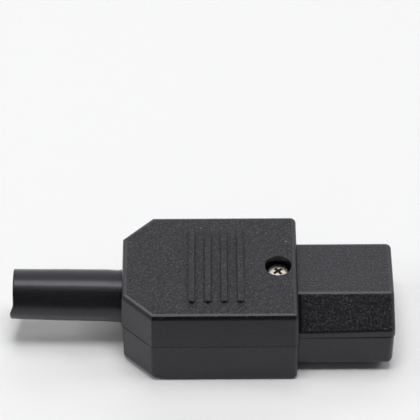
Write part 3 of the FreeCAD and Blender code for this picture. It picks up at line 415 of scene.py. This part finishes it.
housing_black = housing_plastic()
boot_black = boot_rubber()
nickel = plated_metal("Nickel plating", (0.86, 0.83, 0.78, 1), (0.66, 0.58, 0.48, 1), (0.18, 0.36), 3000.0)
recess_metal = plated_metal("Recess patina", (0.5, 0.41, 0.3, 1), (0.3, 0.22, 0.14, 1), (0.4, 0.6), 3000.0)
brass = plated_metal("Rolled brass", (0.75, 0.52, 0.22, 1), (0.58, 0.38, 0.16, 1), (0.22, 0.42), 1600.0)

SLOT_MATERIALS = {
    "housing_plastic": housing_black,
    "boot_rubber": boot_black,
    "contact_brass": brass,
    "plated_steel": nickel,
}


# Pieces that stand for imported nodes


def dress(obj, material):
    """Gives the whole object one material."""
    obj.data.materials.clear()
    obj.data.materials.append(material)


def put_in_scene(name, shape):
    """A new object from a bmesh, which is used up."""
    mesh = bpy.data.meshes.new(name)
    shape.to_mesh(mesh)
    shape.free()
    obj = bpy.data.objects.new(name, mesh)
    bpy.context.scene.collection.objects.link(obj)
    return obj


def new_piece(name, shape, material, stands_for):
    """A finished piece from a bmesh, smooth shaded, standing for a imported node."""
    piece = put_in_scene(name, shape)
    dress(piece, material)
    piece.data.shade_smooth()
    piece.data.set_sharp_from_angle(angle=math.radians(35))
    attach(piece, "root")
    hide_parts(stands_for)
    return piece


def turned(shape, edges, centre, axis, steps):
    """Spins the profile's edges once round, and points the faces outwards."""
    points = list(dict.fromkeys(vert for edge in edges for vert in edge.verts))
    bmesh.ops.spin(
        shape, geom=edges + points, cent=centre, axis=axis, angle=2 * math.pi, steps=steps,
        use_merge=True, use_duplicate=False,
    )
    bmesh.ops.remove_doubles(shape, verts=shape.verts, dist=1e-7)
    bmesh.ops.recalc_face_normals(shape, faces=shape.faces)


# The boot
BOOT_ROOT_R = 5.11 * MM
BOOT_MIDDLE_R = 5.06 * MM
BOOT_TAIL_R = 4.885 * MM
BOOT_BORE_R = 3.7 * MM
BOOT_COLLAR = 1.6 * MM
BOOT_SPIGOT = 1.7 * MM
BOOT_BEAD = 0.12 * MM
BOOT_BEAD_FRONT = 0.1 * MM  # behind the housing's tail wall
BOOT_BEAD_BACK = 0.45 * MM
BOOT_LONG_EDGE = 8 * MM  # longer edges are divided, so that they can bend
BOOT_LIP_ROUND = 0.22 * MM
BOOT_LIFT = 0.2 * MM  # step up at the housing, done after the first sixth
BOOT_LIFT_PACE = 6
BOOT_RISE = 0.65 * MM  # bend from there to the end
BOOT_STRAIGHT = 0.64  # share of the rise that isn't curved
BOOT_TRIM = 0.2 * MM  # cut from the whole end
BOOT_LIP = 0.7 * MM  # cut more from all but the lip, low on the -Y side
BOOT_LIP_TOP = -0.85  # where the lip ends, in radii from the axis
BOOT_LIP_RAMP = 0.45  # over which the cut runs in from there, in radii
BOOT_TRIM_START = 0.85  # share of the length from where the trim pulls


def soft_step(share):
    """Runs softly from 0 to 1 while the share does, and stays there outside."""
    share = min(1.0, max(0.0, share))
    return share * share * (3 - 2 * share)


def boot_profile(wall_x):
    """The (along, radius) corners of the boot's wall, round from the bore's back end."""
    end, front = boot_low.x, boot_high.x
    collar_front = front - BOOT_SPIGOT
    collar_back = collar_front - BOOT_COLLAR
    collar_r = (boot_high.z - boot_low.z) / 2
    bead_r = BOOT_ROOT_R + BOOT_BEAD
    bead_front, bead_back = wall_x - BOOT_BEAD_FRONT, wall_x - BOOT_BEAD_BACK
    return [
        (end, BOOT_BORE_R), (front, BOOT_BORE_R), (front, BOOT_ROOT_R), (collar_front, BOOT_ROOT_R),
        (collar_front, collar_r), (collar_back, collar_r), (collar_back, BOOT_ROOT_R),
        (bead_front, BOOT_ROOT_R), (bead_front, bead_r), (bead_back, bead_r), (bead_back, BOOT_ROOT_R),
        ((wall_x + end) / 2, BOOT_MIDDLE_R), (end, BOOT_TAIL_R),
    ]


def bend_and_trim(shape, wall_x):
    """Bends the sleeve up behind the housing and trims its end, but for the lip."""
    reach = wall_x - boot_low.x
    for vert in shape.verts:
        along = (wall_x - vert.co.x) / reach
        if along <= 0.0:
            continue
        off_lip = (vert.co.y + vert.co.z - PARTING) * math.sqrt(0.5) / BOOT_TAIL_R
        trimmed = BOOT_TRIM + BOOT_LIP * soft_step((off_lip - BOOT_LIP_TOP) / BOOT_LIP_RAMP)
        vert.co.x += trimmed * max(0.0, (along - BOOT_TRIM_START) / (1 - BOOT_TRIM_START)) ** 2
        curve = BOOT_STRAIGHT * along + (1 - BOOT_STRAIGHT) * along ** 2
        vert.co.z += BOOT_LIFT * soft_step(along * BOOT_LIFT_PACE) + BOOT_RISE * curve


def make_boot():
    """The rubber boot: a turned sleeve that bends up a little, with soft lips and a hollow trimmed end."""
    wall_x = shell_low.x
    end = boot_low.x
    shape = bmesh.new()
    ring = [shape.verts.new((across, 0.0, PARTING + up)) for across, up in boot_profile(wall_x)]
    edges = [shape.edges.new((ring[k - 1], ring[k])) for k in range(len(ring))]
    long_edges = [edge for edge in edges if edge.calc_length() > BOOT_LONG_EDGE]
    bmesh.ops.subdivide_edges(shape, edges=long_edges, cuts=14)
    turned(shape, list(shape.edges), (0, 0, PARTING), (1, 0, 0), 96)
    lips = [edge for edge in shape.edges if all(abs(vert.co.x - end) < 1e-6 for vert in edge.verts)]
    rings = [edge for edge in lips if edge.calc_face_angle(0.0) > math.radians(30)]
    bmesh.ops.bevel(
        shape, geom=rings, offset=BOOT_LIP_ROUND, segments=3, profile=0.5, affect="EDGES", material=-1,
        clamp_overlap=True,
    )
    bend_and_trim(shape, wall_x)
    return new_piece("cable_boot_sleeve", shape, boot_black, "cable_boot")


# The housing screw
HEAD_R = (screw_high.x - screw_low.x) / 2
HEAD_HEIGHT = 1.6 * MM
HEAD_EDGE = 0.28 * MM
HEAD_CROWN = 0.17 * MM
HEAD_FOOT = (0.1 * MM, 0.12 * MM)  # bevel under the head's rim, in and up
HEAD_ARC = [math.radians(16 * step) for step in range(6)]  # round the head's edge
HEAD_DOME = ((1.2 * MM, 0.07 * MM), (0.6 * MM, 0.02 * MM), (0.0, 0.0))  # radius, and depth under the top
SHANK_R = 1.25 * MM
SHANK_TIP = 0.3 * MM
RECESS_WING = 1.28 * MM
RECESS_HALF = 0.36 * MM
RECESS_DEPTH = 1.5 * MM
RECESS_TAPER = 0.38
RECESS_TURN = math.radians(38)
RECESS_ABOVE = 0.3 * MM  # how far the cutter starts over the head
RECESS_RIM = 0.12 * MM  # depth from where the recess is dull
HEAD_SOFTENING = 0.05 * MM


def make_recess_cutter(centre, top):
    """A tapering cross that cuts the screw's recess."""
    wing, half = RECESS_WING, RECESS_HALF
    plan = [
        (half, wing), (half, half), (wing, half), (wing, -half), (half, -half), (half, -wing),
        (-half, -wing), (-half, -half), (-wing, -half), (-wing, half), (-half, half), (-half, wing),
    ]
    shape = bmesh.new()
    face = shape.faces.new([shape.verts.new((x, y, 0.0)) for x, y in plan])
    grown = bmesh.ops.extrude_face_region(shape, geom=[face])
    tip = [part for part in grown["geom"] if isinstance(part, bmesh.types.BMVert)]
    bmesh.ops.translate(shape, verts=tip, vec=(0, 0, -RECESS_DEPTH))
    bmesh.ops.scale(shape, verts=tip, vec=(RECESS_TAPER, RECESS_TAPER, 1.0))
    bmesh.ops.rotate(shape, verts=shape.verts, cent=(0, 0, 0), matrix=Matrix.Rotation(RECESS_TURN, 3, "Z"))
    bmesh.ops.translate(shape, verts=shape.verts, vec=(centre.x, centre.y, top + RECESS_ABOVE))
    bmesh.ops.recalc_face_normals(shape, faces=shape.faces)
    return put_in_scene("drive_cutter", shape)


def screw_profile(top, seat):
    """The (radius, height) corners of the screw, from its tip up to the crown."""
    corners = [
        (0.0, screw_low.z), (SHANK_R - SHANK_TIP, screw_low.z), (SHANK_R, screw_low.z + SHANK_TIP),
        (SHANK_R, seat), (HEAD_R - HEAD_FOOT[0], seat), (HEAD_R, seat + HEAD_FOOT[1]),
    ]
    for angle in HEAD_ARC:
        inward, drop = HEAD_EDGE * (1 - math.cos(angle)), HEAD_EDGE * (1 - math.sin(angle))
        corners.append((HEAD_R - inward, top - HEAD_CROWN - drop))
    return corners + [(radius, top - depth) for radius, depth in HEAD_DOME]


def cut_recess(piece, cutter):
    """Cuts the recess, softens the edges, and gives the piece the finished mesh."""
    cut = piece.modifiers.new("Recess", "BOOLEAN")
    cut.operation = "DIFFERENCE"
    cut.solver = "EXACT"
    cut.object = cutter
    soften = piece.modifiers.new("Soft edges", "BEVEL")
    soften.width = HEAD_SOFTENING
    soften.segments = 2
    soften.limit_method = "ANGLE"
    soften.angle_limit = math.radians(35)
    graph = bpy.context.evaluated_depsgraph_get()
    finished = bpy.data.meshes.new_from_object(piece.evaluated_get(graph))
    finished.name = piece.name
    piece.modifiers.clear()
    piece.data = finished
    bpy.data.objects.remove(cutter)


def make_housing_screw():
    """The housing screw: a domed pan head with a tapered cross recess on a plain shank."""
    centre = (screw_low + screw_high) / 2
    top = screw_high.z
    seat = top - HEAD_HEIGHT
    shape = bmesh.new()
    ring = [shape.verts.new((across, 0.0, up)) for across, up in screw_profile(top, seat)]
    edges = [shape.edges.new(pair) for pair in zip(ring, ring[1:])]
    turned(shape, edges, (0, 0, 0), (0, 0, 1), 48)
    bmesh.ops.translate(shape, verts=shape.verts, vec=(centre.x, centre.y, 0))
    piece = new_piece("housing_screw_head", shape, nickel, "housing_screw")
    cut_recess(piece, make_recess_cutter(centre, top))
    piece.data.materials.append(recess_metal)
    for face in piece.data.polygons:
        across = math.hypot(face.center.x - centre.x, face.center.y - centre.y)
        if across < RECESS_WING + 0.02 * MM and seat < face.center.z < top - RECESS_RIM:
            face.material_index = 1
    return piece


for part in frame["record"]["subparts"]:
    dress(nodes[part["node"]], SLOT_MATERIALS[part["material_slot"]])
make_boot()
make_housing_screw()


# Camera: a long lens above the front of the connector, fitted to the photograph
CAMERA_PLACE = Vector((0.00077, -0.37372, 0.39868))
CAMERA_DOWN = math.radians(44.37)
CAMERA_ROLL = math.radians(-0.239)
CAMERA_TURN = math.radians(0.159)
FOCAL_PIXELS = 2742.0
FRAME_PIXELS = 420.0
SENSOR = 36.0

# The room: pale round the back and overhead, dark from low in front up to well over the lens.
# "Seen" is what the lens and gloss see, and "lit" is the light that it gives.
FRONT = Vector((0.0, -0.866, 0.5))
FRONT_SPAN = (0.6, 0.8)
SEEN_ROOM = (0.88, 0.88, 0.885, 1)
SEEN_FRONT = (0.11, 0.11, 0.112, 1)
LIT_ROOM = (0.03, 0.03, 0.03, 1)
LIT_FRONT = (0.13, 0.13, 0.13, 1)

# The table, which reflections show dark from near the connector's front on towards the lens
TABLE_HALF = 4.0
TABLE_DROP = 0.02 * MM  # under the connector, so that the two faces don't lie in one plane
TABLE_PALE = (0.918, 0.918, 0.922, 1)
TABLE_DARK = (0.02, 0.02, 0.02, 1)
TABLE_FRONT = (-0.015, -0.065)
TABLE_DARKENING = (0.0, 0.85)

# Lamps, this far from the connector. Each line: tilt from overhead to the back and turn about the
# vertical in degrees, size in metres, power in watts, and whether gloss shows it.
LAMP_REACH = 0.9
LAMPS = {
    "Overhead box": (8.5, 0.0, (0.3, 0.32), 1.65, True),
    "Overhead strip": (-7.0, 0.0, (0.45, 0.2), 3.35, False),
    "Back lamp": (45.0, 0.0, (0.8, 0.4), 1.4, False),
    "Right back lamp": (60.0, -50.0, (0.3, 0.3), 0.5, False),
    "Low left lamp": (72.0, 90.0, (0.25, 0.25), 3.3, False),
    "Right lamp": (38.0, -95.0, (0.3, 0.3), 1.15, False),
}


def add_camera():
    """The photograph's view."""
    data = bpy.data.cameras.new("View")
    data.sensor_width = SENSOR
    data.lens = FOCAL_PIXELS / FRAME_PIXELS * SENSOR
    data.clip_start = 0.01
    data.clip_end = 20.0
    camera = bpy.data.objects.new("View", data)
    turn = Matrix.Rotation(-CAMERA_TURN, 4, "Z")
    tilt = Matrix.Rotation(math.pi / 2 - CAMERA_DOWN, 4, "X")
    roll = Matrix.Rotation(CAMERA_ROLL, 4, "Z")
    camera.matrix_world = Matrix.Translation(CAMERA_PLACE) @ turn @ tilt @ roll
    bpy.context.scene.collection.objects.link(camera)
    bpy.context.scene.camera = camera


def add_world():
    """The room as lens and gloss see it, and the softer light that it gives."""
    world = bpy.data.worlds.new("Studio")
    bpy.context.scene.world = world
    world.use_nodes = True
    tree = world.node_tree
    tree.nodes.clear()
    towards = add(tree, "ShaderNodeVectorMath", operation="DOT_PRODUCT")
    towards.inputs[1].default_value = FRONT
    link(tree, add(tree, "ShaderNodeTexCoord"), "Generated", towards, 0)
    front = ranged(tree, towards, "Value", FRONT_SPAN, RISE)
    seen = add(tree, "ShaderNodeBackground", Strength=1.0)
    tree.links.new(mix_colour(tree, front, SEEN_ROOM, SEEN_FRONT), seen.inputs["Color"])
    lit = add(tree, "ShaderNodeBackground", Strength=1.0)
    tree.links.new(mix_colour(tree, front, LIT_ROOM, LIT_FRONT), lit.inputs["Color"])
    path = add(tree, "ShaderNodeLightPath")
    either = combined(tree, "MAXIMUM", (path, "Is Camera Ray"), (path, "Is Glossy Ray"))
    any_ray = combined(tree, "MAXIMUM", either, (path, "Is Transmission Ray"))
    mix = add(tree, "ShaderNodeMixShader")
    link(tree, any_ray, 0, mix, 0)
    link(tree, lit, 0, mix, 1)
    link(tree, seen, 0, mix, 2)
    link(tree, mix, 0, add(tree, "ShaderNodeOutputWorld"), 0)


def add_table():
    """A wide pale table that keeps the connector's soft shadow."""
    shape = bmesh.new()
    bmesh.ops.create_grid(shape, x_segments=1, y_segments=1, size=TABLE_HALF)
    bmesh.ops.translate(shape, verts=shape.verts, vec=(0.0, 0.0, -TABLE_DROP))
    table = put_in_scene("Table", shape)
    material, tree, surface = new_material("Table white", Roughness=0.7, Specular_IOR_Level=0.15)
    spot = axes(tree, "ShaderNodeTexCoord", "Object")
    in_front = ranged(tree, spot, "Y", TABLE_FRONT, TABLE_DARKENING)
    path = add(tree, "ShaderNodeLightPath")
    mirrored = combined(tree, "MULTIPLY", (path, "Is Glossy Ray"), in_front)
    colour = mix_colour(tree, mirrored, TABLE_PALE, TABLE_DARK)
    tree.links.new(colour, surface.inputs["Base Color"])
    dress(table, material)


def add_lamp(name, tilt, turn, size, watts, mirrored):
    """A soft lamp that faces the connector. Gloss shows it only where mirrored is true."""
    data = bpy.data.lights.new(name, "AREA")
    data.shape = "RECTANGLE"
    data.size, data.size_y = size
    data.energy = watts
    lamp = bpy.data.objects.new(name, data)
    lean = Matrix.Rotation(math.radians(-tilt), 4, "X")
    swing = Matrix.Rotation(math.radians(turn), 4, "Z")
    lamp.matrix_world = swing @ lean @ Matrix.Translation((0.0, 0.0, LAMP_REACH))
    lamp.visible_glossy = mirrored
    bpy.context.scene.collection.objects.link(lamp)


bpy.context.scene.view_settings.view_transform = "Standard"
add_camera()
add_world()
add_table()
for lamp_name, settings in LAMPS.items():
    add_lamp(lamp_name, *settings)
